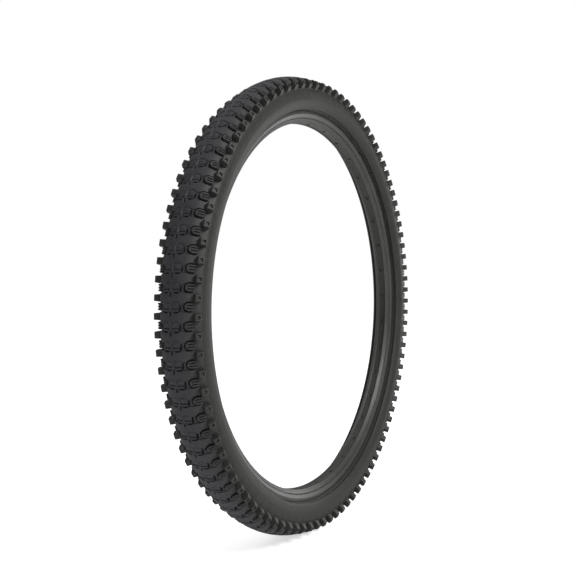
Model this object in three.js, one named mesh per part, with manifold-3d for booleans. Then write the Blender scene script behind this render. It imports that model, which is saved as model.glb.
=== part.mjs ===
// A knobbly mountain bike tyre for a 559 mm bead seat, mounted on its bare rim with its tube.
// Millimetres. The wheel's centre is the origin, it spins about +Y, and +Z is up.
// Every ring is drawn as a section in two numbers: radius from the wheel's axis, and side, which is Y.

import * as THREE from "three";
import { mergeVertices } from "three/addons/utils/BufferGeometryUtils.js";
import Module from "manifold-3d";

const wasm = await Module();
wasm.setup();

// Driving dimensions.
const BEAD_SEAT = 279.5;
const FLANGE_TIP = BEAD_SEAT + 6;
const RIM_HALF_WIDTH = 15.5;
const FLANGE_WALL = 2.3;
const RIM_BED = 271.2;
const BED_HALF_WIDTH = 4.0;
const RIM_SHEET = 1.0;
const SECTION_CENTRE = 304;
const CASING_HEIGHT = 22.3; // from the section's centre to the casing's crown
const CASING_HALF_WIDTH = 26.6;
const CROWN = 333.5;
const PITCHES = 96;
const SPOKE_HOLES = 36;

// How finely the rings are cut.
const SEGMENTS = 48;
const GAP = 0.3;

// Where the rings' corners, the knobs and the spoke holes stand round the wheel, in degrees.
const PITCH = 360 / PITCHES;
const WHEEL_TURN = 1.525;
const FIRST_HOLE = 4.0;
const HOLE_STEP = 360 / SPOKE_HOLES;
const VALVE_ANGLE = FIRST_HOLE + 17.5 * HOLE_STEP;

// Layers of the tyre, as distances outside the casing's outer face.
const PLY = 0.7;
const BREAKER_INNER = GAP;
const BREAKER_OUTER = 0.95;
const TREAD_INNER = 1.7;
const TREAD_BASE = 3.2;
const CROWN_TOP = CROWN - SECTION_CENTRE - CASING_HEIGHT;
const SIDEWALL_SKIN = 1.3;

const rad = THREE.MathUtils.degToRad;

// ---------------------------------------------------------------- helpers

// A point of the tyre's section: angle from the crown, and distance outside the casing.
function onCasing(angle, out = 0) {
  const a = rad(angle);
  const height = Math.cos(a) > 0 ? CASING_HEIGHT : CASING_HALF_WIDTH;
  return [
    SECTION_CENTRE + (height + out) * Math.cos(a),
    (CASING_HALF_WIDTH + out) * Math.sin(a),
  ];
}

function mirrored(points) {
  return points.map(([radius, side]) => [radius, -side]).reverse();
}

function direction(from, to) {
  return new THREE.Vector2(to[0] - from[0], to[1] - from[1]).normalize();
}

// A path moved sideways by a distance, to the left of the way it runs, with mitred corners.
function offset(path, distance, closed = false) {
  const last = path.length - 1;
  return path.map((point, i) => {
    const before = path[i === 0 ? last : i - 1];
    const after = path[i === last ? 0 : i + 1];
    const arriving = i === 0 && !closed ? direction(point, after) : direction(before, point);
    const leaving = i === last && !closed ? arriving : direction(point, after);
    const along = arriving.clone().add(leaving).normalize();
    const reach = distance / along.dot(leaving);
    return [point[0] - along.y * reach, point[1] + along.x * reach];
  });
}

// The closed section of a band of even thickness that follows a path.
function band(path, thickness) {
  return [...offset(path, thickness / 2), ...offset(path, -thickness / 2).reverse()];
}

function signedArea(section) {
  return section.reduce((sum, [radius, side], i) => {
    const [nextRadius, nextSide] = section[(i + 1) % section.length];
    return sum + radius * nextSide - nextRadius * side;
  }, 0);
}

// A closed section turned about the Y axis. segments is the number of flats round the wheel.
function lathe(section, segments = SEGMENTS) {
  const ordered = signedArea(section) > 0 ? [...section] : [...section].reverse();
  const points = [...ordered, ordered[0]].map(([radius, side]) => new THREE.Vector2(radius, side));
  return new THREE.LatheGeometry(points, segments);
}

// A lathed solid whose outline starts and ends on the axis, given from low Y to high Y.
function turned(outline, sides = 12) {
  return new THREE.LatheGeometry(outline.map(([radius, y]) => new THREE.Vector2(radius, y)), sides);
}

function solidOf(geometry) {
  const bare = geometry.index ? geometry.clone() : geometry;
  bare.deleteAttribute("normal");
  bare.deleteAttribute("uv");
  const merged = mergeVertices(bare, 1e-4);
  return new wasm.Manifold(
    new wasm.Mesh({
      numProp: 3,
      vertProperties: merged.attributes.position.array,
      triVerts: new Uint32Array(merged.index.array),
    }),
  );
}

function geometryOf(solid) {
  const made = solid.getMesh();
  return new THREE.BufferGeometry()
    .setAttribute("position", new THREE.BufferAttribute(made.vertProperties, 3))
    .setIndex(new THREE.BufferAttribute(made.triVerts, 1));
}

function cut(geometry, tools) {
  return geometryOf(tools.reduce((solid, tool) => solid.subtract(solidOf(tool)), solidOf(geometry)));
}

// The place and direction of a radial line at an angle round the wheel. Its own +Y points at the hub.
function radialFrame(object, angle, radius, side = 0) {
  const outward = new THREE.Vector3(Math.cos(rad(angle)), 0, Math.sin(rad(angle)));
  object.position.copy(outward).multiplyScalar(radius).setY(side);
  object.quaternion.setFromUnitVectors(new THREE.Vector3(0, 1, 0), outward.negate());
  object.updateMatrix();
  return object;
}

function radialDrill(radius, angle, centre, side, length, sides = 8) {
  const drill = new THREE.CylinderGeometry(radius, radius, length, sides);
  return drill.applyMatrix4(radialFrame(new THREE.Object3D(), angle, centre, side).matrix);
}

const materials = {
  treadRubber: { color: 0x1c1c1f, roughness: 0.62 },
  sidewallRubber: { color: 0x20211f, roughness: 0.5 },
  nylon: { color: 0x9a8f78, roughness: 0.9 },
  breakerCloth: { color: 0x7a6a4a, roughness: 0.9 },
  chaferCloth: { color: 0x2a2925, roughness: 0.9 },
  butyl: { color: 0x141416, roughness: 0.55 },
  steel: { color: 0x9a9ea3, roughness: 0.35, metalness: 1 },
  brass: { color: 0xb08d45, roughness: 0.35, metalness: 1 },
  plastic: { color: 0x18181a, roughness: 0.5 },
  paint: { color: 0x161719, roughness: 0.3, metalness: 0.2 },
};

function piece(name, geometry, finish) {
  const mesh = new THREE.Mesh(geometry, new THREE.MeshStandardMaterial(materials[finish]));
  mesh.name = name;
  return mesh;
}

// ---------------------------------------------------------------- tread

// The tread's rows, as angles from the crown.
const CROWN_EDGE = 26;
const CROWN_FOOT = 30;
const KNOB_FOOT = 47;
const TREAD_EDGE = 68;
const INNER_CORNER = 45;
// A shoulder knob's top face, as angle and distance outside the casing, and its length round the tyre.
const KNOB_TOP_INNER = [50.5, 11.8];
const KNOB_TOP_OUTER = [61.5, 10.4];
const KNOB_TOP_LENGTH = 8.2;
const KNOB_FOOT_LENGTH = 9.2;
// The same for the knobs of the row between crown and shoulder.
const BETWEEN_TOP_INNER = [33.5, 8.2];
const BETWEEN_TOP_OUTER = [44.5, 7.5];
const BETWEEN_TOP_LENGTH = 9.4;

function treadPoint([angle, out], turn) {
  const [radius, side] = onCasing(angle, out);
  return [radius * Math.cos(rad(turn)), side, radius * Math.sin(rad(turn))];
}

function degreesAt(length, angle, out) {
  return THREE.MathUtils.radToDeg(length / onCasing(angle, out)[0]);
}

function pushQuad(faces, a, b, c, d) {
  faces.push(a, b, c, a, c, d);
}

// A knob that narrows from its foot to its top, each given as corners and the turns of its two ends.
function pushKnob(faces, side, [footIn, footOut, footTurns], [topIn, topOut, topTurns]) {
  const corners = (point, turns) => turns.map((turn) => treadPoint([side * point[0], point[1]], turn));
  const innerFoot = corners(footIn, footTurns);
  const outerFoot = corners(footOut, footTurns);
  const innerTop = corners(topIn, topTurns);
  const outerTop = corners(topOut, topTurns);
  const put = (a, b, c, d) => (side < 0 ? pushQuad(faces, d, c, b, a) : pushQuad(faces, a, b, c, d));
  put(innerTop[0], outerTop[0], outerTop[1], innerTop[1]);
  put(innerFoot[0], innerTop[0], innerTop[1], innerFoot[1]);
  put(outerTop[0], outerFoot[0], outerFoot[1], outerTop[1]);
  put(innerFoot[0], outerFoot[0], outerTop[0], innerTop[0]);
  put(innerTop[1], outerTop[1], outerFoot[1], innerFoot[1]);
}

// One pitch of tread has a knob on each shoulder, half a pitch in from its start, and then
// a knob of the row between on each side.
function treadPitch(faces, pitch) {
  const middle = (pitch + 0.5) * PITCH;
  const footHalf = degreesAt(KNOB_FOOT_LENGTH / 2, KNOB_FOOT, TREAD_BASE);
  const topHalf = degreesAt(KNOB_TOP_LENGTH / 2, ...KNOB_TOP_INNER);
  const betweenHalf = degreesAt(BETWEEN_TOP_LENGTH / 2, ...BETWEEN_TOP_INNER);
  const inLine = [middle - footHalf, middle + footHalf];
  const between = [middle + footHalf, middle - footHalf + PITCH];
  const knobTop = [middle - topHalf, middle + topHalf];
  const betweenTop = [middle + PITCH / 2 - betweenHalf, middle + PITCH / 2 + betweenHalf];

  function patch(low, high, [from, to]) {
    const [lowFrom, highFrom] = [treadPoint(low, from), treadPoint(high, from)];
    const [lowTo, highTo] = [treadPoint(low, to), treadPoint(high, to)];
    pushQuad(faces, lowFrom, highFrom, highTo, lowTo);
  }

  const crown = [
    [-CROWN_FOOT, TREAD_BASE],
    [-CROWN_EDGE, CROWN_TOP],
    [0, CROWN_TOP],
    [CROWN_EDGE, CROWN_TOP],
    [CROWN_FOOT, TREAD_BASE],
  ];
  for (const turns of [inLine, between]) {
    crown.slice(1).forEach((row, i) => patch(crown[i], row, turns));
  }

  const crownFoot = [CROWN_FOOT, TREAD_BASE];
  const knobFoot = [KNOB_FOOT, TREAD_BASE];
  const edge = [TREAD_EDGE, TREAD_BASE];
  for (const side of [-1, 1]) {
    const at = ([angle, out]) => [side * angle, out];
    const floor = (low, high, turns) =>
      side < 0 ? patch(at(high), at(low), turns) : patch(at(low), at(high), turns);
    floor(crownFoot, knobFoot, inLine);
    floor(knobFoot, edge, between);
    pushKnob(faces, side, [knobFoot, edge, inLine], [KNOB_TOP_INNER, KNOB_TOP_OUTER, knobTop]);
    pushKnob(faces, side, [crownFoot, knobFoot, between],
      [BETWEEN_TOP_INNER, BETWEEN_TOP_OUTER, betweenTop]);
  }
}

// The inner face has one flat for every two pitches, as the rings inside it have.
function treadInside(faces, flat) {
  const step = 360 / SEGMENTS;
  const [from, to] = [flat * step, (flat + 1) * step];
  const rows = [-TREAD_EDGE, -INNER_CORNER, 0, INNER_CORNER, TREAD_EDGE].map((a) => [a, TREAD_INNER]);
  rows.slice(1).forEach((row, i) => {
    const [a, b] = [treadPoint(rows[i], to), treadPoint(row, to)];
    const [c, d] = [treadPoint(row, from), treadPoint(rows[i], from)];
    faces.push(a, b, c, a, c, d);
  });
  const footHalf = degreesAt(KNOB_FOOT_LENGTH / 2, KNOB_FOOT, TREAD_BASE);
  for (const side of [-1, 1]) {
    const inner = [side * TREAD_EDGE, TREAD_INNER];
    const outer = [side * TREAD_EDGE, TREAD_BASE];
    const middle = from + PITCH / 2;
    const outerTurns = [middle - footHalf, middle + footHalf, middle + PITCH - footHalf];
    outerTurns.push(middle + PITCH + footHalf, middle + 2 * PITCH - footHalf);
    const outerAt = outerTurns.map((turn) => treadPoint(outer, turn));
    const push = side < 0 ? (a, b, c) => faces.push(c, b, a) : (a, b, c) => faces.push(a, b, c);
    const [near, far] = [treadPoint(inner, from), treadPoint(inner, to)];
    push(outerAt[0], near, outerAt[1]);
    push(outerAt[1], near, outerAt[2]);
    push(outerAt[2], near, far);
    push(outerAt[2], far, outerAt[3]);
    push(outerAt[3], far, outerAt[4]);
  }
}

function treadGeometry() {
  const faces = [];
  for (let pitch = 0; pitch < PITCHES; pitch++) treadPitch(faces, pitch);
  for (let flat = 0; flat < SEGMENTS; flat++) treadInside(faces, flat);
  const soup = new THREE.BufferGeometry();
  soup.setAttribute("position", new THREE.BufferAttribute(new Float32Array(faces.flat()), 3));
  return mergeVertices(soup, 1e-3);
}

// ---------------------------------------------------------------- the rest of the tyre

const CASING_CORNERS = [0, 45, 90, 126];
// From the casing's last corner the ply goes down inside the flange and hooks round the bead wire.
const FLANGE_TURN = [287.8, 15.3];
const BEAD_HOOK = [[285.9, 8.75], [281.3, 8.75], [281.3, 11.9]];

// The middle line of the outer ply, from one bead to the other.
function plyPath(ends) {
  const half = [...CASING_CORNERS.map((angle) => onCasing(angle, -PLY / 2)), ...ends];
  return [...mirrored(half.slice(1)), ...half];
}

function outerPly() {
  return lathe(band(plyPath([FLANGE_TURN, ...BEAD_HOOK]), PLY));
}

// The inner ply lies against the outer one, and stops above the bead.
function innerPly() {
  return lathe(band(offset(plyPath([[288.0, 16.8]]), PLY + GAP), PLY));
}

function breaker() {
  const middle = (BREAKER_INNER + BREAKER_OUTER) / 2;
  const path = [-62, -45, 0, 45, 62].map((angle) => onCasing(angle, middle));
  return lathe(band(path, BREAKER_OUTER - BREAKER_INNER));
}

const SIDEWALL_FOOT = [[286.4, 20.4], [287.5, 19.4]];
const CHAFER_PATH = [[287.0, 18.7], [286.0, 12.65], [280.05, 12.65], [280.05, 7.6]];
const CHAFER_CLOTH = 0.5;
const BEAD_BUNDLE = [[282.0, 9.4], [285.0, 9.4], [285.0, 11.1], [282.0, 11.1]];

// side is 1 for the left of the tyre and -1 for its right, as seen by a rider who rolls towards +X.
function toSide(section, side) {
  return section.map(([radius, y]) => [radius, side * y]);
}

function sidewall(side) {
  const inner = [126, 90, 69.5].map((angle) => onCasing(angle, 2 * GAP));
  const outer = [
    onCasing(69.5, TREAD_BASE - GAP),
    onCasing(90, SIDEWALL_SKIN + GAP),
    onCasing(108, SIDEWALL_SKIN),
    onCasing(126, SIDEWALL_SKIN),
    ...SIDEWALL_FOOT,
  ];
  return lathe(toSide([...outer, ...inner], side));
}

// A bundle of steel wire that can't stretch, which holds the tyre on the rim.
function beadWire(side) {
  return lathe(toSide(BEAD_BUNDLE, side));
}

// Cloth round the outside of the bead, against the rim.
function chafer(side) {
  return lathe(toSide(band(CHAFER_PATH, CHAFER_CLOTH), side));
}

// ---------------------------------------------------------------- rim and tube

const WELL = RIM_BED + RIM_SHEET;
const VALVE_HOLE = 4.3;
const SPOKE_HOLE = 2.3;
const HOLE_STAGGER = 0.8;
// The bed is a shallow channel between two ridges, and a slope leads from each ridge to the flange.
const RIDGE = [269.3, 7.0];
const SLOPE_END = [275.6, 12.1];
const WELL_HALF_WIDTH = 4.7;

function rimSection() {
  const half = [
    [RIM_BED, BED_HALF_WIDTH],
    RIDGE,
    SLOPE_END,
    [FLANGE_TIP - 4.5, RIM_HALF_WIDTH],
    [FLANGE_TIP, RIM_HALF_WIDTH],
    [FLANGE_TIP, RIM_HALF_WIDTH - FLANGE_WALL],
    [BEAD_SEAT, RIM_HALF_WIDTH - FLANGE_WALL],
    [BEAD_SEAT - 0.5, 10.4],
    [WELL, WELL_HALF_WIDTH],
  ];
  return [...half, ...mirrored(half)];
}

function rim() {
  const drills = [radialDrill(VALVE_HOLE, VALVE_ANGLE, RIM_BED, 0, 20, 12)];
  for (let hole = 0; hole < SPOKE_HOLES; hole++) {
    const side = hole % 2 ? HOLE_STAGGER : -HOLE_STAGGER;
    drills.push(radialDrill(SPOKE_HOLE, FIRST_HOLE + hole * HOLE_STEP, RIM_BED, side, 12));
  }
  return cut(lathe(rimSection()), drills);
}

// Tape over the nipples' seats, pierced for the valve.
function rimStrip() {
  const half = [[WELL + 0.65, 4.4], [276.2, 7.2]];
  const hole = radialDrill(VALVE_HOLE + 0.2, VALVE_ANGLE, WELL, 0, 12, 12);
  return cut(lathe(band([...mirrored(half), ...half], 0.6)), [hole]);
}

const TUBE_WALL = 1;
const TUBE_FLOOR = [276.2, 5.2];
const TUBE_PORT = 2.2;

// Air holds the tube against the inner ply, and between the beads it dips into the rim.
function innerTube() {
  const against = offset(plyPath([FLANGE_TURN]), 2 * PLY + 2 * GAP).slice(1, -1);
  const below = [[287.2, 7.0], TUBE_FLOOR];
  const outside = [...against, ...below, ...mirrored(below)];
  const port = radialDrill(TUBE_PORT, VALVE_ANGLE, TUBE_FLOOR[0], 0, 8);
  return cut(lathe(outside), [lathe(offset(outside, TUBE_WALL, true)), port]);
}

// ---------------------------------------------------------------- valve

// The valve's axis starts at the rim strip and points at the hub. Its pieces are turned about it.
const VALVE_ROOT = 273.4;
const FOOT_HEIGHT = 2;
const STEM_LENGTH = 10.6;
const STEM = 3.85;
const STEM_BORE = 2.75;
const CORE = 2.45;
const CORE_BORE = 1.8;
const CORE_TOP = STEM_LENGTH - 0.6;
const CORE_LENGTH = 6.8;
const CORE_SHOULDER = 0.9;
const SEAT_BORE = 1.1;
const PIN = 0.75;
const PIN_HEAD = 1.45;
const PIN_HEAD_HEIGHT = 0.6;
const PLUG = 1.9;
const CAP_WALL = 0.9;
const CAP_DEPTH = 4.8;

// A straight tube from low to high on the valve's axis.
function tube(outer, inner, low, high, sides = 12) {
  return turned([[inner, low], [outer, low], [outer, high], [inner, high], [inner, low]], sides);
}

// The rubber foot that joins the stem to the tube narrows into the rim's well.
function valveFoot() {
  return turned([[TUBE_PORT, -FOOT_HEIGHT], [5.6, -FOOT_HEIGHT], [3.9, 0], [TUBE_PORT, 0],
    [TUBE_PORT, -FOOT_HEIGHT]]);
}

function valveStem() {
  return tube(STEM, STEM_BORE, GAP, STEM_LENGTH);
}

// A barrel with a shoulder at its bottom, which carries the spring and seats the pin's plug.
function valveCoreBody() {
  const bottom = CORE_TOP - CORE_LENGTH;
  return turned([[SEAT_BORE, bottom], [CORE, bottom], [CORE, CORE_TOP], [CORE_BORE, CORE_TOP],
    [CORE_BORE, bottom + CORE_SHOULDER], [SEAT_BORE, bottom + CORE_SHOULDER], [SEAT_BORE, bottom]]);
}

// Pressing the pin moves it away from the hub, and its plug leaves the seat.
function valvePin() {
  const seat = CORE_TOP - CORE_LENGTH - GAP;
  const headTop = CORE_TOP - 0.1;
  const headFoot = headTop - PIN_HEAD_HEIGHT;
  return turned([[0, seat - 1], [PLUG, seat - 1], [PLUG, seat], [PIN, seat], [PIN, headFoot],
    [PIN_HEAD, headFoot], [PIN_HEAD, headTop], [0, headTop]], 10);
}

class Helix extends THREE.Curve {
  constructor(radius, low, high, turns) {
    super();
    Object.assign(this, { radius, low, high, turns });
  }

  getPoint(t, target = new THREE.Vector3()) {
    const turn = t * this.turns * 2 * Math.PI;
    const y = this.low + t * (this.high - this.low);
    return target.set(this.radius * Math.cos(turn), y, this.radius * Math.sin(turn));
  }
}

// The spring stands on the barrel's shoulder and lifts the pin's head.
function valveSpring() {
  const low = CORE_TOP - CORE_LENGTH + CORE_SHOULDER + GAP;
  const high = CORE_TOP - 0.1 - PIN_HEAD_HEIGHT - GAP;
  const wire = new THREE.Shape().absarc(0, 0, 0.13, 0, 2 * Math.PI);
  return new THREE.ExtrudeGeometry(wire, {
    extrudePath: new Helix(1.27, low, high, 3),
    steps: 30,
    curveSegments: 3,
    bevelEnabled: false,
  });
}

function valveCap() {
  const inner = STEM + GAP;
  const outer = inner + CAP_WALL;
  const [mouth, floor] = [STEM_LENGTH - CAP_DEPTH, STEM_LENGTH + 0.9];
  return turned([[inner, mouth], [outer, mouth], [outer, floor], [outer - 0.7, floor + 0.8],
    [0, floor + 0.8], [0, floor], [inner, floor], [inner, mouth]]);
}

function capSeal() {
  return tube(STEM, STEM_BORE, STEM_LENGTH + 0.15, STEM_LENGTH + 0.7);
}

// ---------------------------------------------------------------- assembly

const wheel = new THREE.Group();
wheel.rotation.y = rad(WHEEL_TURN);

wheel.add(
  piece("tread", treadGeometry(), "treadRubber"),
  piece("sidewall_left", sidewall(1), "sidewallRubber"),
  piece("sidewall_right", sidewall(-1), "sidewallRubber"),
  piece("breaker_strip", breaker(), "breakerCloth"),
  piece("casing_ply_outer", outerPly(), "nylon"),
  piece("casing_ply_inner", innerPly(), "nylon"),
  piece("bead_wire_left", beadWire(1), "steel"),
  piece("bead_wire_right", beadWire(-1), "steel"),
  piece("chafer_left", chafer(1), "chaferCloth"),
  piece("chafer_right", chafer(-1), "chaferCloth"),
  piece("inner_tube", innerTube(), "butyl"),
  piece("rim_strip", rimStrip(), "butyl"),
  piece("rim", rim(), "paint"),
);

const valve = radialFrame(new THREE.Group(), VALVE_ANGLE, VALVE_ROOT);
valve.add(
  piece("valve_foot", valveFoot(), "butyl"),
  piece("valve_stem", valveStem(), "brass"),
  piece("valve_core_body", valveCoreBody(), "brass"),
  piece("valve_core_pin", valvePin(), "brass"),
  piece("valve_core_spring", valveSpring(), "steel"),
  piece("valve_cap", valveCap(), "plastic"),
  piece("valve_cap_seal", capSeal(), "butyl"),
);
wheel.add(valve);

const tyre = new THREE.Group();
tyre.add(wheel);

export default tyre;
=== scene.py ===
import math

import bpy
import numpy as np
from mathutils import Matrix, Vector


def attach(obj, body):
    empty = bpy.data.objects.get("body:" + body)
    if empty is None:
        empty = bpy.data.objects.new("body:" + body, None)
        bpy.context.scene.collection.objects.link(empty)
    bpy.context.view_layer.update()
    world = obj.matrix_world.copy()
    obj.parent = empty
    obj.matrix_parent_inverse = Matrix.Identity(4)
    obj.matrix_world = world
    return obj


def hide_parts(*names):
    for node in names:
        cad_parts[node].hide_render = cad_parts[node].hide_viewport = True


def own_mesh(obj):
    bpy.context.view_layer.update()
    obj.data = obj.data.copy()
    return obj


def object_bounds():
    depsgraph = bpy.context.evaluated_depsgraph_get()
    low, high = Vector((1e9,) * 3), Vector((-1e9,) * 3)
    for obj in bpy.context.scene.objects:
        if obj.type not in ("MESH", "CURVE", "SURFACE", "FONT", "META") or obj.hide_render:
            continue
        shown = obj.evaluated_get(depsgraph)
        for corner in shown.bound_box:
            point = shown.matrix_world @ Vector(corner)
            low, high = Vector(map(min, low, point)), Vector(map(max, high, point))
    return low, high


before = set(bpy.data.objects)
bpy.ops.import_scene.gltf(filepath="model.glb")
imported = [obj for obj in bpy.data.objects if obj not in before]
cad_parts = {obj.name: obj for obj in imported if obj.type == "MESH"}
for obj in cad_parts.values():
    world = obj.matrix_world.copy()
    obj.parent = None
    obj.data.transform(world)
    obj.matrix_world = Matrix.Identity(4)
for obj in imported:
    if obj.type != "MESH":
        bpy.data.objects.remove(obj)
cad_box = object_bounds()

MM = 0.001

# The wheel, in millimetres. Rings are sections of (radius from the axis, side), and side is Y.
SECTION_CENTRE = 304.0
CASING_HEIGHT = 22.3
CASING_HALF_WIDTH = 26.6
TREAD_INNER = 1.7
TREAD_BASE = 3.2
CROWN_TOP = 7.2
PITCHES = 96
PITCH = 360 / PITCHES
PITCH_LENGTH = math.radians(PITCH) * 330
KNOB_PHASE = 0.35
SPOKE_HOLES = 36
HOLE_PHASE = 2.475
HOLE_STAGGER = 0.8
VALVE_ANGLE = HOLE_PHASE + 175


# ---------------------------------------------------------------- meshes

def add_object(name, mesh, material, body, replaced, smooth=False):
    """A piece of the visual model, which rides on a body and stands in for the solids it replaces."""
    obj = bpy.data.objects.new(name, mesh)
    bpy.context.scene.collection.objects.link(obj)
    mesh.materials.append(material)
    mesh.shade_smooth() if smooth else mesh.shade_flat()
    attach(obj, body)
    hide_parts(*replaced)
    return obj


def grid_mesh(name, points, flip=False):
    """A mesh of quads from points[u][v], closed round both ways."""
    nu, nv = points.shape[:2]
    mesh = bpy.data.meshes.new(name)
    index = np.arange(nu * nv).reshape(nu, nv)
    next_u = np.roll(index, -1, axis=0)
    next_v = np.roll(index, -1, axis=1)
    corner = np.roll(next_u, -1, axis=1)
    order = [index, next_v, corner, next_u] if flip else [index, next_u, corner, next_v]
    quads = np.stack(order, axis=-1).reshape(-1, 4)
    mesh.vertices.add(nu * nv)
    mesh.vertices.foreach_set("co", points.reshape(-1).astype(np.float32))
    mesh.loops.add(quads.size)
    mesh.loops.foreach_set("vertex_index", quads.reshape(-1).astype(np.int32))
    mesh.polygons.add(len(quads))
    mesh.polygons.foreach_set("loop_start", np.arange(0, quads.size, 4, dtype=np.int32))
    mesh.update(calc_edges=True)
    mesh.validate()
    return mesh


def swept(radius, side, turn):
    """Points in metres from radius and side in mm and the angle round the wheel in degrees."""
    angle = np.radians(turn)
    return np.stack([radius * np.cos(angle), side + 0 * angle, radius * np.sin(angle)], axis=-1) * MM


def ring_mesh(name, section, segments):
    """A ring about the wheel's axis, from its section."""
    section = np.array(section, float)
    following = np.roll(section, -1, axis=0)
    area = np.sum(section[:, 0] * following[:, 1] - following[:, 0] * section[:, 1])
    turn = np.arange(segments)[:, None] * 360 / segments
    return grid_mesh(name, swept(section[None, :, 0], section[None, :, 1], turn), flip=area > 0)


def on_casing(angle, out):
    """(radius, side) of a point out mm off the casing, at an angle round its section from the crown."""
    a = np.radians(angle)
    height = np.where(np.abs(angle) < 90, CASING_HEIGHT, CASING_HALF_WIDTH)
    return (SECTION_CENTRE + (height + out) * np.cos(a), (CASING_HALF_WIDTH + out) * np.sin(a))


def filleted(section, radius, steps=3):
    """The section with its corners rounded, each to the radius or to what its sides allow."""
    rounded = []
    count = len(section)
    for i in range(count):
        corner = Vector(section[i])
        before = Vector(section[i - 1]) - corner
        after = Vector(section[(i + 1) % count]) - corner
        reach = min(radius, before.length * 0.45, after.length * 0.45)
        start = corner + before.normalized() * reach
        end = corner + after.normalized() * reach
        for k in range(steps + 1):
            t = k / steps
            rounded.append(tuple(start * (1 - t) ** 2 + corner * 2 * t * (1 - t) + end * t ** 2))
    return rounded


# ---------------------------------------------------------------- tread pattern

def ramp(value, edge, width):
    """0 below the edge and 1 above it, with a soft step of that width."""
    t = np.clip((value - edge) / width + 0.5, 0, 1)
    return t * t * (3 - 2 * t)


def rounded_box(x, y, half_x, half_y, corner):
    """Distance outside a rectangle with rounded corners, negative inside."""
    dx = np.abs(x) - half_x + corner
    dy = np.abs(y) - half_y + corner
    outside = np.hypot(np.maximum(dx, 0), np.maximum(dy, 0))
    return outside + np.minimum(np.maximum(dx, dy), 0) - corner


def raised(distance, wall=0.7):
    """1 inside a shape and 0 outside, from its distance."""
    return 1 - ramp(distance, 0, wall)


def wrapped(s):
    """The distance along the tread brought into one pitch, from minus to plus half a pitch."""
    return (s + PITCH_LENGTH / 2) % PITCH_LENGTH - PITCH_LENGTH / 2


# Places on the tread are (distance along it from a shoulder knob, distance across it from the
# middle), in millimetres, and half sizes are in the same order.
GROOVE_WALL = 0.7
CROWN_FALL = 2.8
STRIP_DEPTH = 1.6
MOAT_DEPTH = 2.4
MOAT_WIDTH = 1.2
ISLAND = (10.3, 6.4)
ISLAND_HALF = (6.0, 5.3)
ISLAND_CORNER = 4.2
ISLAND_DROP = 0.8
GROOVE_DEPTH = 0.5
HOOK_DEPTH = 2.5
BAR_START = 2.3
SLIT_HALF = (0.35, 4.6)
SLIT_DEPTH = 1.5
DOME_HEIGHT = 0.5
DASH_HALF = (2.3, 0.75)
DASH_DEPTH = 2.8
FAINT_HALF = (3.2, 0.35)
FAINT_DEPTH = 0.4
BETWEEN = (10.1, 22.0)
BETWEEN_HALF = (4.6, 5.4)
BETWEEN_CORNER = 4.2
BETWEEN_TOP = 8.3
BAR_STEP = 1.55
BAR_SLIT_DEPTH = 1.9
KNOB_ANGLE = 56
KNOB_START = 48.2
MM_PER_DEGREE = 0.62
KNOB_HALF_LENGTH = 4.35
POCKET_HALF = 1.8
POCKET_DEPTH = 1.9
FLOOR_DROP = 0.8
# The shoulder knob's height above the casing, at angles round the casing's section.
KNOB_ANGLES = [47, 50.5, 61.5, 66, 68]
KNOB_TOPS = [7.5, 11.8, 10.4, 5.5, TREAD_BASE - FLOOR_DROP]


def crown_height(s, h):
    """The low blocks across the crown, as height above the casing."""
    ah = np.abs(h)
    # The crown falls away towards the shoulders, and a moat sets off the knobs that stand there.
    height = CROWN_TOP - CROWN_FALL * ramp(ah, 22, 13)
    # Between the smooth blocks of neighbouring pitches it lies lower.
    height -= STRIP_DEPTH * ramp(np.abs(wrapped(s - 0.6)), 6.3, 1.6) * ramp(ah, 11.5, 2)
    moat = rounded_box(wrapped(s - BETWEEN[0]), ah - BETWEEN[1], *BETWEEN_HALF, BETWEEN_CORNER)
    height -= MOAT_DEPTH * raised(moat - MOAT_WIDTH, 0.9)
    # Each side has a low block with a round end, and a groove round it that deepens into a hook.
    past = wrapped(s - ISLAND[0])
    island = rounded_box(past, ah - ISLAND[1], *ISLAND_HALF, ISLAND_CORNER)
    upright = ramp(ah, 10.4, 1.4) * ramp(past, -1.5, 2)
    foot = ramp(past, 5.2, 1.2) * ramp(ah, 4.5, 4)
    hook = np.maximum(upright, foot)
    height -= (GROOVE_DEPTH + HOOK_DEPTH * hook) * raised(np.abs(island) - 0.3 - 0.45 * hook, GROOVE_WALL)
    # The block's round part lies a little lower than the bar across its foot.
    height -= ISLAND_DROP * raised(island, GROOVE_WALL) * (1 - ramp(past, BAR_START, 0.8))
    # A slit splits the bar from the block's round part, whose top is slightly domed.
    slit = np.maximum(np.abs(past - BAR_START) - SLIT_HALF[0], np.abs(ah - ISLAND[1]) - SLIT_HALF[1])
    height -= SLIT_DEPTH * raised(slit, GROOVE_WALL)
    oval = np.hypot((past + 2.6) / 2.2, (ah - 5.6) / 3.8)
    height += DOME_HEIGHT * (1 - ramp(oval, 0.75, 0.6))
    # A deep dash runs along the middle of the tread in each pitch, and a faint one beyond it.
    dash = rounded_box(wrapped(s + 3.5), h, *DASH_HALF, 0.6)
    height -= DASH_DEPTH * raised(dash, GROOVE_WALL)
    faint = rounded_box(wrapped(s - 1.6), h, *FAINT_HALF, 0.3)
    height -= FAINT_DEPTH * raised(faint, GROOVE_WALL)
    return height


def between_height(s, h):
    """The knobs of the row between crown and shoulder, each split into three bars."""
    ah = np.abs(h)
    along = wrapped(s - BETWEEN[0])
    shape = rounded_box(along, ah - BETWEEN[1], *BETWEEN_HALF, BETWEEN_CORNER)
    top = BETWEEN_TOP - 0.9 * ramp(ah, BETWEEN[1], 9)
    slits = raised(np.abs(np.abs(along) - BAR_STEP) - 0.45, GROOVE_WALL) * ramp(ah, 19, 1)
    return raised(shape, 0.8) * (top - BAR_SLIT_DEPTH * slits)


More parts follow.
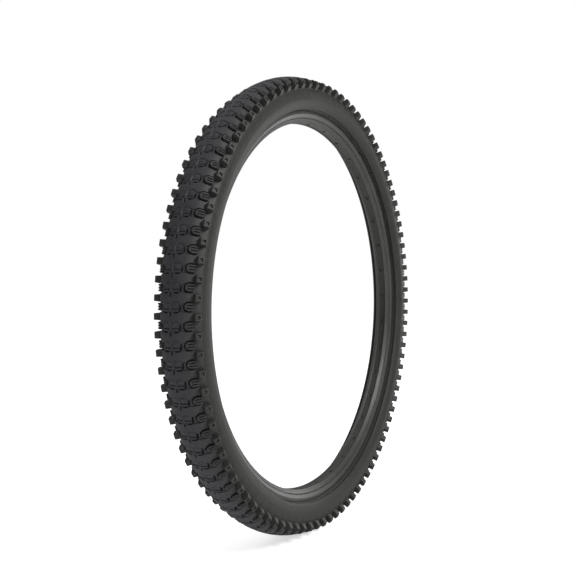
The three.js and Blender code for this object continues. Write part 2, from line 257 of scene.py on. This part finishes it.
def shoulder_height(s, angle):
    """The shoulder knobs, which lean outwards and have a pocket in the tip."""
    a = np.abs(angle)
    top = np.interp(a, KNOB_ANGLES, KNOB_TOPS)
    shape = np.maximum(np.abs(wrapped(s)) - KNOB_HALF_LENGTH, KNOB_START - a)
    pocket = rounded_box(wrapped(s), (a - KNOB_ANGLE) * MM_PER_DEGREE, POCKET_HALF, POCKET_HALF, 0.5)
    return raised(shape, 0.6) * (top - POCKET_DEPTH * raised(pocket, 0.6))


def tread_height(s, angle):
    """The top of the tread above the casing, along the tread and at an angle round its section."""
    _, h = on_casing(angle, CROWN_TOP)
    a = np.abs(angle)
    # The floor sinks between the shoulder knobs.
    floor = TREAD_BASE - FLOOR_DROP * ramp(a, 48, 6)
    inner = np.maximum(crown_height(s, h), between_height(s, h)) * (1 - ramp(a, 49.5, 2.5))
    return np.maximum(np.maximum(floor, inner), shoulder_height(s, angle))


TREAD_EDGE = 69


def tread_mesh(columns=40, rows=150):
    """The whole tread: columns are the steps along a pitch, and rows the steps across."""
    angle = np.linspace(-TREAD_EDGE, TREAD_EDGE, rows)
    turn = np.arange(PITCHES * columns) * PITCH / columns
    s = wrapped(turn[:columns] / PITCH * PITCH_LENGTH)
    grid_s, grid_angle = np.meshgrid(s, angle, indexing="ij")
    out = tread_height(grid_s, grid_angle)
    inner_angle = np.linspace(TREAD_EDGE, -TREAD_EDGE, 9)
    inner = np.full((columns, 9), TREAD_INNER)
    radius, side = on_casing(np.concatenate([angle, inner_angle]), np.hstack([out, inner]))
    turns = (turn + KNOB_PHASE)[:, None]
    points = swept(np.tile(radius, (PITCHES, 1)), np.tile(side, (PITCHES, 1)), turns)
    return grid_mesh("tread_knobs", points, flip=True)


# ---------------------------------------------------------------- the rest of the tyre

RIB_STEP = 2.2
RIB_HALF = 0.5
RIB_HEIGHT = 0.15
RIB_PLACES = (-1.5, -0.5, 0.5, 1.5)
MOULD_LINES = (99.0, 118.0)
MOULD_LINE_HEIGHT = 0.35
SIDEWALL_FOOT = [[286.75, 21.6], [286.35, 20.9], [286.3, 20.2], [286.6, 19.6], [287.2, 19.4]]
SIDEWALL_END = 126
SKIN_ANGLES = [69, 76, 90, SIDEWALL_END]
SKIN = [TREAD_BASE - 1.2, 1.9, 1.45, 1.3]


def sidewall_mesh(name, side):
    """The skin from the tread to the rim: side is 1 for the left and -1 for the right."""
    offsets = [-0.8, -0.35, 0.35, 0.8]
    s = [place * RIB_STEP + offset for place in RIB_PLACES for offset in offsets]
    s = np.array(s + [6, 8, 10.5, 13, 15.5])
    angle = np.concatenate([np.linspace(69.3, 96, 34), np.linspace(98, SIDEWALL_END, 15)])
    skin = np.interp(angle, SKIN_ANGLES, SKIN)
    # Fine raised lines run round the tyre where the mould's rings meet.
    for line in MOULD_LINES:
        skin = skin + MOULD_LINE_HEIGHT * np.exp(-((angle - line) / 0.9) ** 2)
    rib = np.min([np.abs(s - place * RIB_STEP) for place in RIB_PLACES], axis=0)
    rib = raised(rib - RIB_HALF, 0.5)[:, None]
    fade = ((1 - ramp(angle, 90, 5)) * ramp(angle, 70.5, 1))[None, :]
    out = skin[None, :] + RIB_HEIGHT * rib * fade
    radius, across = on_casing(angle[None, :], out)
    foot = np.array(SIDEWALL_FOOT)
    back_angle = np.linspace(SIDEWALL_END, 69.5, 12)
    back = np.stack(on_casing(back_angle, 0.6), axis=-1)
    tail = np.vstack([foot, back])
    radius = np.hstack([radius, np.tile(tail[:, 0], (len(s), 1))])
    across = np.hstack([across, np.tile(tail[:, 1], (len(s), 1))])
    turn = (np.arange(PITCHES)[:, None] * PITCH + s[None, :] / PITCH_LENGTH * PITCH).reshape(-1, 1)
    sides = side * np.tile(across, (PITCHES, 1))
    points = swept(np.tile(radius, (PITCHES, 1)), sides, turn + KNOB_PHASE)
    return grid_mesh(name, points, flip=side > 0)


def shifted(path, distance):
    """A path of (radius, side) moved sideways, with mitred corners."""
    path = [Vector(point) for point in path]
    moved = []
    for i, point in enumerate(path):
        arriving = (point - path[i - 1]).normalized() if i else None
        leaving = (path[i + 1] - point).normalized() if i < len(path) - 1 else arriving
        arriving = arriving or leaving
        along = (arriving + leaving).normalized()
        reach = distance / along.dot(leaving)
        moved.append((point.x - along.y * reach, point.y + along.x * reach))
    return moved


def band(path, thickness):
    """The section of a strip of that thickness along a path."""
    return shifted(path, thickness / 2) + list(reversed(shifted(path, -thickness / 2)))


def both_sides(half):
    """A path from the left bead over the crown to the right one, from its half."""
    return [(radius, -side) for radius, side in reversed(half[1:])] + half


def casing_arc(low, high, out, steps):
    """Points out mm off the casing, from a low to a high angle round its section."""
    return [tuple(float(v) for v in on_casing(a, out)) for a in np.linspace(low, high, steps)]


PLY = 0.7
GAP = 0.3
PLY_ARC = casing_arc(0, 126, -PLY / 2, 22)
PLY_OUTER = PLY_ARC + [(287.8, 15.3), (285.9, 8.75), (281.3, 8.75), (281.3, 11.9)]
PLY_INNER = PLY_ARC + [(288.0, 16.8)]
CHAFER = [(287.0, 18.7), (286.0, 12.65), (280.05, 12.65), (280.05, 7.6)]
BEAD_WIRE = [(282.0, 9.4), (285.0, 9.4), (285.0, 11.1), (282.0, 11.1)]


def mirrored(section):
    return [(radius, -side) for radius, side in section]


def inner_rings():
    """The rings inside the tyre: name, section, look, slot."""
    outer = band(both_sides(PLY_OUTER), PLY)
    inner = band(shifted(both_sides(PLY_INNER), PLY + GAP), PLY)
    breaker = band(both_sides(casing_arc(0, 62, 0.625, 14)), 0.65)
    chafer = filleted(band(CHAFER, 0.5), 0.2, 2)
    wire = filleted(BEAD_WIRE, 0.5, 3)
    return [
        ("casing_ply_outer", outer, "casing", "casing_cloth"),
        ("casing_ply_inner", inner, "casing", "casing_cloth"),
        ("breaker_strip", breaker, "breaker", "breaker_cloth"),
        ("chafer_left", chafer, "chafer", "chafer_cloth"),
        ("chafer_right", mirrored(chafer), "chafer", "chafer_cloth"),
        ("bead_wire_left", wire, "steel", "bead_steel"),
        ("bead_wire_right", mirrored(wire), "steel", "bead_steel"),
    ]


# ---------------------------------------------------------------- rim

RIM_BED = 271.2
RIM_FILLET = 0.5
# Outlines of the drills: (distance beyond the bed, radius). A spoke's hole is countersunk.
SPOKE_DRILL = [(-4, 3.3), (-0.2, 3.1), (0.6, 2.35), (8, 2.35)]
VALVE_DRILL = [(-4, 4.3), (8, 4.3)]


def rim_section():
    """A shallow channel between two upright flanges, in folded sheet."""
    half = [[RIM_BED, 4.0], [269.3, 7.0], [274.8, 11.7], [276.0, 11.2], [276.3, 12.6], [281.0, 15.5],
            [285.5, 15.5], [285.5, 13.2], [279.5, 13.2], [279.0, 10.4], [272.2, 4.7]]
    other = [[radius, -y] for radius, y in reversed(half)]
    return half + other


def radial_frame(angle):
    """Unit vectors at an angle round the wheel: away from the hub, round the wheel, and sideways."""
    a = math.radians(angle)
    outward = np.array([math.cos(a), 0, math.sin(a)])
    across = np.array([-math.sin(a), 0, math.cos(a)])
    along = np.array([0, 1, 0])
    return outward, across, along


def cylinder_along(angle, centre, side, outline, sides):
    """Rings on a radial line of the wheel: outline is (distance beyond the centre radius, radius)."""
    outward, across, along = radial_frame(angle)
    rings = []
    for distance, radius in outline:
        turns = np.arange(sides) * 2 * math.pi / sides
        ring = (centre + distance) * outward + np.array([0, side, 0])
        circle = np.cos(turns)[:, None] * across + np.sin(turns)[:, None] * along
        rings.append(ring + radius * circle)
    return np.array(rings) * MM


def capped_mesh(name, rings):
    """A closed mesh from rings of points, with a flat cap on each end."""
    count, sides = rings.shape[:2]
    faces = []
    for i in range(count - 1):
        for k in range(sides):
            n = (k + 1) % sides
            faces.append((i * sides + k, (i + 1) * sides + k, (i + 1) * sides + n, i * sides + n))
    faces.append(tuple(range(sides)))
    faces.append(tuple((count - 1) * sides + k for k in reversed(range(sides))))
    mesh = bpy.data.meshes.new(name)
    mesh.from_pydata(rings.reshape(-1, 3).tolist(), [], faces)
    mesh.update()
    return mesh


def rim_mesh():
    """The rim with a countersunk hole for every spoke and one for the valve."""
    rim = ring_mesh("rim_shell", filleted(rim_section(), RIM_FILLET), segments=360)
    target = bpy.data.objects.new("rim_target", rim)
    bpy.context.scene.collection.objects.link(target)
    drills = []
    for hole in range(SPOKE_HOLES):
        side = HOLE_STAGGER if hole % 2 else -HOLE_STAGGER
        angle = HOLE_PHASE + hole * 360 / SPOKE_HOLES
        drills.append(cylinder_along(angle, RIM_BED, side, SPOKE_DRILL, 20))
    drills.append(cylinder_along(VALVE_ANGLE, RIM_BED, 0, VALVE_DRILL, 24))
    cutter = bpy.data.meshes.new("rim_cutter")
    vertices, faces = [], []
    for rings in drills:
        part = capped_mesh("part", rings)
        start = len(vertices)
        vertices += [tuple(v.co) for v in part.vertices]
        faces += [tuple(start + i for i in p.vertices) for p in part.polygons]
        bpy.data.meshes.remove(part)
    cutter.from_pydata(vertices, [], faces)
    tool = bpy.data.objects.new("rim_cutter", cutter)
    bpy.context.scene.collection.objects.link(tool)
    modifier = target.modifiers.new("holes", "BOOLEAN")
    modifier.operation = "DIFFERENCE"
    modifier.solver = "EXACT"
    modifier.object = tool
    graph = bpy.context.evaluated_depsgraph_get()
    made = bpy.data.meshes.new_from_object(target.evaluated_get(graph))
    bpy.data.objects.remove(target)
    bpy.data.objects.remove(tool)
    made.name = "rim_shell_drilled"
    return made


# ---------------------------------------------------------------- valve

# Outlines on the valve's axis: (distance from its root towards the hub, radius), in millimetres.
VALVE_ROOT = 273.4
VALVE_SIDES = 48
STEM_RADIUS = 3.85
STEM_BORE = 2.75
STEM_TOP = 10.6
THREAD_LOW = 2.6
THREAD_HIGH = 9.3
THREAD_PITCH = 0.8
THREAD_DEPTH = 0.32
THREAD_FADE = 0.3
THREAD_STEPS = 8
STEM_TIP = [(9.5, 3.7), (STEM_TOP, 3.2), (STEM_TOP, STEM_BORE), (0.3, STEM_BORE), (0.3, STEM_RADIUS)]
CAP_RADIUS = 5.05
CAP_MOUTH = 5.8
RIB_LOW = 6.0
RIB_HIGH = 8.6
CAP_LEVELS = (RIB_HIGH, 7.9, 7.2, 6.5, RIB_LOW)
CAP_SIDE = [(level, CAP_RADIUS) for level in CAP_LEVELS] + [(CAP_MOUTH, 4.85)]
CAP_DOME = [(12.3, 1.0), (12.1, 2.2), (11.7, 3.1), (11.2, 3.7), (10.6, 4.1), (9.6, 4.7)]
CAP_INSIDE = [(CAP_MOUTH, 4.3), (RIB_LOW, 4.15), (9.4, 4.15), (10.7, 3.55), (11.25, 3.2), (11.3, 1.0)]
CAP_RIBS = 18
CAP_RIB_DEPTH = 0.3
SPRING_LOW = 4.4
SPRING_HIGH = 9.0
SPRING_RADIUS = 1.27
SPRING_WIRE = 0.14
SPRING_TURNS = 5
WIRE_SIDES = 10
STEPS_PER_TURN = 24
BARREL = [(3.2, 1.1), (3.2, 2.45), (10.0, 2.45), (10.0, 1.8), (4.1, 1.8), (4.1, 1.1)]
PIN = [(9.9, 0.3), (9.9, 1.3), (9.75, 1.45), (9.3, 1.45), (9.3, 0.75), (2.9, 0.75), (2.9, 1.9),
       (1.9, 1.9), (1.9, 0.3)]
SEAL = [(10.75, 1.9), (10.75, 3.0), (11.1, 3.0), (11.1, 1.9)]


def valve_rings(outline, sides):
    """Rings about the valve's axis, in the order of an outline."""
    outline = [(-distance, radius) for distance, radius in outline]
    return cylinder_along(VALVE_ANGLE, VALVE_ROOT, 0, outline, sides)


def swell(rings, outline, extra):
    """The rings with extra(distance, turn) millimetres added to their radius."""
    outward = radial_frame(VALVE_ANGLE)[0]
    sides = rings.shape[1]
    turns = np.arange(sides) * 2 * math.pi / sides
    for i, (distance, radius) in enumerate(outline):
        middle = (VALVE_ROOT - distance) * MM * outward
        scale = 1 + extra(distance, turns) / radius
        rings[i] = middle + (rings[i] - middle) * scale[:, None]
    return rings


def valve_stem_mesh():
    """The stem with a thread cut round its outside."""
    steps = int((THREAD_HIGH - THREAD_LOW) / THREAD_PITCH * THREAD_STEPS)
    thread = [(float(d), STEM_RADIUS) for d in np.linspace(THREAD_LOW, THREAD_HIGH, steps)]
    outline = thread + STEM_TIP

    def cut(distance, turns):
        # The thread runs out at both ends.
        to_end = min(distance - THREAD_LOW, THREAD_HIGH - distance)
        ends = min(max(to_end, 0), THREAD_FADE) / THREAD_FADE
        lead = (distance / THREAD_PITCH - turns / (2 * math.pi)) % 1
        return -THREAD_DEPTH * ends * np.abs(2 * lead - 1)

    rings = swell(valve_rings(outline, VALVE_SIDES), outline, cut)
    return grid_mesh("valve_stem_threaded", rings, flip=True)


def valve_cap_mesh():
    """The cap, hollow and domed, with grip ribs round its side."""
    outline = CAP_DOME + CAP_SIDE + CAP_INSIDE

    def ribs(distance, turns):
        on_side = RIB_LOW < distance <= RIB_HIGH
        return -CAP_RIB_DEPTH * on_side * (0.5 - 0.5 * np.cos(turns * CAP_RIBS))

    rings = swell(valve_rings(outline, CAP_RIBS * 8), outline, ribs)
    return capped_mesh("valve_cap_ribbed", rings)


def valve_spring_mesh():
    """A coil of round wire between the barrel's shoulder and the pin's head."""
    outward, across, along = radial_frame(VALVE_ANGLE)
    psi = np.arange(WIRE_SIDES)[:, None] * 2 * math.pi / WIRE_SIDES
    rise = (SPRING_LOW - SPRING_HIGH) / (2 * math.pi * SPRING_TURNS)
    rings = []
    for t in np.linspace(0, 1, SPRING_TURNS * STEPS_PER_TURN + 1):
        turn = 2 * math.pi * SPRING_TURNS * t
        out = math.cos(turn) * across + math.sin(turn) * along
        round_coil = -math.sin(turn) * across + math.cos(turn) * along
        tangent = SPRING_RADIUS * round_coil + rise * outward
        up = np.cross(tangent / np.linalg.norm(tangent), out)
        middle = (VALVE_ROOT - SPRING_LOW - t * (SPRING_HIGH - SPRING_LOW)) * outward
        wire = SPRING_WIRE * (np.cos(psi) * out + np.sin(psi) * up)
        rings.append(middle + SPRING_RADIUS * out + wire)
    return capped_mesh("valve_spring_coil", np.array(rings)[::-1] * MM)


def turned_ring_mesh(name, outline):
    """A ring turned about the valve's axis, with its edges broken."""
    return grid_mesh(name, valve_rings(filleted(outline, 0.12, 2), VALVE_SIDES), flip=True)


# ---------------------------------------------------------------- materials

def new_material(name):
    material = bpy.data.materials.new(name)
    material.use_nodes = True
    shader = material.node_tree.nodes["Principled BSDF"]
    return material, material.node_tree, shader


def noise(tree, scale, detail=4.0, rough=0.55):
    node = tree.nodes.new("ShaderNodeTexNoise")
    node.inputs["Scale"].default_value = scale
    node.inputs["Detail"].default_value = detail
    node.inputs["Roughness"].default_value = rough
    coords = tree.nodes.new("ShaderNodeTexCoord")
    tree.links.new(coords.outputs["Object"], node.inputs["Vector"])
    return node


def colour_ramp(tree, source, dark, light, low=0.3, high=0.7):
    node = tree.nodes.new("ShaderNodeValToRGB")
    node.color_ramp.elements[0].position = low
    node.color_ramp.elements[1].position = high
    node.color_ramp.elements[0].color = (*dark, 1)
    node.color_ramp.elements[1].color = (*light, 1)
    tree.links.new(source, node.inputs["Fac"])
    return node.outputs["Color"]


def value_range(tree, source, low, high):
    node = tree.nodes.new("ShaderNodeMapRange")
    node.inputs["To Min"].default_value = low
    node.inputs["To Max"].default_value = high
    tree.links.new(source, node.inputs["Value"])
    return node.outputs["Result"]


def bump(tree, shader, source, strength, distance=0.0003):
    node = tree.nodes.new("ShaderNodeBump")
    node.inputs["Strength"].default_value = strength
    node.inputs["Distance"].default_value = distance
    tree.links.new(source, node.inputs["Height"])
    tree.links.new(node.outputs["Normal"], shader.inputs["Normal"])


def tinted(tree, colour, tint, inner, outer):
    """The colour multiplied by a tint that grows from the inner to the outer side distance."""
    coords = tree.nodes.new("ShaderNodeTexCoord")
    split = tree.nodes.new("ShaderNodeSeparateXYZ")
    tree.links.new(coords.outputs["Object"], split.inputs["Vector"])
    size = tree.nodes.new("ShaderNodeMath")
    size.operation = "ABSOLUTE"
    tree.links.new(split.outputs["Y"], size.inputs[0])
    mask = value_range(tree, size.outputs[0], 0, 1)
    mask.node.inputs["From Min"].default_value = inner * MM
    mask.node.inputs["From Max"].default_value = outer * MM
    mix = tree.nodes.new("ShaderNodeMixRGB")
    mix.blend_type = "MULTIPLY"
    mix.inputs["Color2"].default_value = (*tint, 1)
    tree.links.new(mask, mix.inputs["Fac"])
    tree.links.new(colour, mix.inputs["Color1"])
    return mix.outputs["Color"]


def rubber(name, dark, light, rough, grain, tint=None, specular=0.5):
    """Moulded rubber: uneven bloom in the colour, and a fine grain from the mould."""
    material, tree, shader = new_material(name)
    bloom = noise(tree, 45, 5)
    fine = noise(tree, grain, 3)
    colour = colour_ramp(tree, bloom.outputs["Fac"], dark, light)
    if tint:
        colour = tinted(tree, colour, tint, 10, 26)
    tree.links.new(colour, shader.inputs["Base Color"])
    tree.links.new(value_range(tree, bloom.outputs["Fac"], *rough), shader.inputs["Roughness"])
    shader.inputs["Specular IOR Level"].default_value = specular
    bump(tree, shader, fine.outputs["Fac"], 0.35, 0.00015)
    return material


def painted(name):
    """Gloss black paint over drawn metal, slightly orange-peeled."""
    material, tree, shader = new_material(name)
    shader.inputs["Coat Weight"].default_value = 0.25
    shader.inputs["Coat Roughness"].default_value = 0.3
    patch = noise(tree, 30, 4)
    tree.links.new(colour_ramp(tree, patch.outputs["Fac"], (0.014, 0.014, 0.012), (0.024, 0.023, 0.020)),
                   shader.inputs["Base Color"])
    tree.links.new(value_range(tree, patch.outputs["Fac"], 0.42, 0.55), shader.inputs["Roughness"])
    bump(tree, shader, noise(tree, 900, 2).outputs["Fac"], 0.1, 0.0001)
    return material


def cloth(name, dark, light):
    """Cord laid at a slant, as stripes with a little unevenness."""
    material, tree, shader = new_material(name)
    shader.inputs["Sheen Weight"].default_value = 0.2
    wave = tree.nodes.new("ShaderNodeTexWave")
    wave.bands_direction = "DIAGONAL"
    wave.inputs["Scale"].default_value = 500
    wave.inputs["Distortion"].default_value = 1.2
    coords = tree.nodes.new("ShaderNodeTexCoord")
    tree.links.new(coords.outputs["Object"], wave.inputs["Vector"])
    tree.links.new(colour_ramp(tree, wave.outputs["Fac"], dark, light), shader.inputs["Base Color"])
    tree.links.new(value_range(tree, wave.outputs["Fac"], 0.8, 0.95), shader.inputs["Roughness"])
    bump(tree, shader, wave.outputs["Fac"], 0.5)
    return material


def metal(name, dark, light, rough):
    """Bare metal with fine drawn marks."""
    material, tree, shader = new_material(name)
    shader.inputs["Metallic"].default_value = 1
    marks = noise(tree, 1500, 3)
    tree.links.new(colour_ramp(tree, marks.outputs["Fac"], dark, light), shader.inputs["Base Color"])
    tree.links.new(value_range(tree, marks.outputs["Fac"], *rough), shader.inputs["Roughness"])
    bump(tree, shader, marks.outputs["Fac"], 0.15, 0.0001)
    return material


looks = {
    "tread": rubber("tread_rubber", (0.018, 0.018, 0.022), (0.032, 0.032, 0.038), (0.5, 0.68), 1400,
                    (0.86, 0.88, 0.66)),
    "sidewall": rubber("sidewall_rubber", (0.0135, 0.0143, 0.0115), (0.0215, 0.0227, 0.0185),
                       (0.5, 0.65), 2200, specular=0.35),
    "butyl": rubber("butyl_rubber", (0.008, 0.008, 0.009), (0.016, 0.016, 0.017), (0.5, 0.65), 900),
    "plastic": rubber("cap_plastic", (0.010, 0.010, 0.011), (0.016, 0.016, 0.017), (0.35, 0.45), 1800),
    "rim": painted("rim_paint"),
    "casing": cloth("casing_cloth", (0.03, 0.028, 0.024), (0.07, 0.065, 0.055)),
    "breaker": cloth("breaker_cloth", (0.04, 0.035, 0.025), (0.08, 0.07, 0.05)),
    "chafer": cloth("chafer_cloth", (0.014, 0.014, 0.013), (0.02, 0.02, 0.018)),
    "steel": metal("bead_steel", (0.42, 0.43, 0.45), (0.6, 0.61, 0.63), (0.25, 0.4)),
    "brass": metal("valve_brass", (0.46, 0.33, 0.13), (0.6, 0.44, 0.19), (0.3, 0.45)),
}


def repaint(node, look):
    """Gives a solid of the part, which stays as it is, one of the looks."""
    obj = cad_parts[node]
    obj.data.materials.clear()
    obj.data.materials.append(looks[look])


# ---------------------------------------------------------------- build

add_object("tread_knobs", tread_mesh(), looks["tread"], "wheel", ["tread"])
add_object("sidewall_skin_left", sidewall_mesh("sidewall_skin_left", 1), looks["sidewall"], "wheel",
           ["sidewall_left"], smooth=True)
add_object("sidewall_skin_right", sidewall_mesh("sidewall_skin_right", -1), looks["sidewall"], "wheel",
           ["sidewall_right"], smooth=True)
for node, section, look, slot in inner_rings():
    add_object("smooth_" + node, ring_mesh("smooth_" + node, section, 288), looks[look], "wheel",
               [node], smooth=True)
add_object("rim_shell", rim_mesh(), looks["rim"], "wheel", ["rim"])

add_object("valve_stem_threaded", valve_stem_mesh(), looks["brass"], "wheel", ["valve_stem"])
add_object("valve_cap_ribbed", valve_cap_mesh(), looks["plastic"], "cap", ["valve_cap"])
add_object("valve_cap_washer", turned_ring_mesh("valve_cap_washer", SEAL), looks["butyl"], "cap",
           ["valve_cap_seal"])
add_object("valve_barrel", turned_ring_mesh("valve_barrel", BARREL), looks["brass"], "wheel",
           ["valve_core_body"])
add_object("valve_pin_turned", capped_mesh("valve_pin_turned", valve_rings(PIN, 40)), looks["brass"],
           "core_pin", ["valve_core_pin"])
coil = add_object("valve_spring_coil", valve_spring_mesh(), looks["steel"], "wheel",
                  ["valve_core_spring"], smooth=True)
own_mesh(coil)

for node in ("inner_tube", "rim_strip", "valve_foot"):
    repaint(node, "butyl")


# ---------------------------------------------------------------- stage, lights and camera

FLOOR_REACH = 30
FLOOR_CLEARANCE = 0.0005
FLOOR_GLOW = 0.6
SKY_HORIZON = 0.12
SKY_TOP = 0.7


def make_floor():
    """A sheet of pale paper under the tyre, large enough to pass for a whole studio."""
    mesh = bpy.data.meshes.new("floor")
    z = cad_box[0][2] - FLOOR_CLEARANCE
    corners = [(x * FLOOR_REACH, y * FLOOR_REACH, z) for x, y in ((-1, -1), (1, -1), (1, 1), (-1, 1))]
    mesh.from_pydata(corners, [], [(0, 1, 2, 3)])
    floor = bpy.data.objects.new("floor", mesh)
    bpy.context.scene.collection.objects.link(floor)
    material, tree, shader = new_material("floor_paper")
    paper = noise(tree, 3, 2)
    tree.links.new(colour_ramp(tree, paper.outputs["Fac"], (0.93, 0.93, 0.93), (0.95, 0.95, 0.95)),
                   shader.inputs["Base Color"])
    shader.inputs["Roughness"].default_value = 0.9
    shader.inputs["Specular IOR Level"].default_value = 0
    shader.inputs["Emission Color"].default_value = (1, 1, 1, 1)
    # The floor looks white to the camera but throws little light up at the tyre.
    path = tree.nodes.new("ShaderNodeLightPath")
    glow = value_range(tree, path.outputs["Is Camera Ray"], 0, FLOOR_GLOW)
    tree.links.new(glow, shader.inputs["Emission Strength"])
    mesh.materials.append(material)


def area_light(name, position, size, power, target=(0, 0, 0)):
    light = bpy.data.lights.new(name, "AREA")
    light.shape = "DISK"
    light.size = size
    light.energy = power
    obj = bpy.data.objects.new(name, light)
    obj.location = position
    obj.rotation_euler = (Vector(target) - Vector(position)).to_track_quat("-Z", "Y").to_euler()
    bpy.context.scene.collection.objects.link(obj)


def make_world():
    """White to the camera, and for light a soft sky that is brightest overhead."""
    world = bpy.data.worlds.new("studio")
    bpy.context.scene.world = world
    world.use_nodes = True
    tree = world.node_tree
    sky = tree.nodes["Background"]
    sky.inputs["Color"].default_value = (1, 1, 1, 1)
    backdrop = tree.nodes.new("ShaderNodeBackground")
    backdrop.inputs["Color"].default_value = (1, 1, 1, 1)
    coords = tree.nodes.new("ShaderNodeTexCoord")
    split = tree.nodes.new("ShaderNodeSeparateXYZ")
    tree.links.new(coords.outputs["Generated"], split.inputs["Vector"])
    shade = value_range(tree, split.outputs["Z"], SKY_HORIZON, SKY_TOP)
    tree.links.new(shade, sky.inputs["Strength"])
    path = tree.nodes.new("ShaderNodeLightPath")
    mix = tree.nodes.new("ShaderNodeMixShader")
    tree.links.new(path.outputs["Is Camera Ray"], mix.inputs["Fac"])
    tree.links.new(sky.outputs["Background"], mix.inputs[1])
    tree.links.new(backdrop.outputs["Background"], mix.inputs[2])
    tree.links.new(mix.outputs["Shader"], tree.nodes["World Output"].inputs["Surface"])


# The view: lens and sensor in millimetres, distance in metres, angles in radians, shifts in frame widths.
SENSOR_WIDTH = 36
FOCAL_LENGTH = 44.72375
CAMERA_DISTANCE = 1.0817
CAMERA_TURN = 1.080
CAMERA_RISE = 0.034
SHIFT_X = -0.04291667
SHIFT_Y = 0.03211806


def make_camera():
    data = bpy.data.cameras.new("camera")
    data.sensor_width = SENSOR_WIDTH
    data.lens = FOCAL_LENGTH
    data.shift_x = SHIFT_X
    data.shift_y = SHIFT_Y
    camera = bpy.data.objects.new("camera", data)
    away = Vector((-math.sin(CAMERA_TURN) * math.cos(CAMERA_RISE),
                   -math.cos(CAMERA_TURN) * math.cos(CAMERA_RISE), math.sin(CAMERA_RISE)))
    camera.location = away * CAMERA_DISTANCE
    camera.rotation_euler = (-away).to_track_quat("-Z", "Y").to_euler()
    bpy.context.scene.collection.objects.link(camera)
    bpy.context.scene.camera = camera


make_floor()
make_world()
area_light("key", (-0.2, -2.35, 1.45), 0.9, 52)
area_light("fill", (-1.8, -0.6, 2.4), 1.5, 7)
area_light("rim_light", (2.6, -0.5, 0.2), 1.3, 14)
make_camera()
bpy.context.scene.view_settings.view_transform = "Standard"
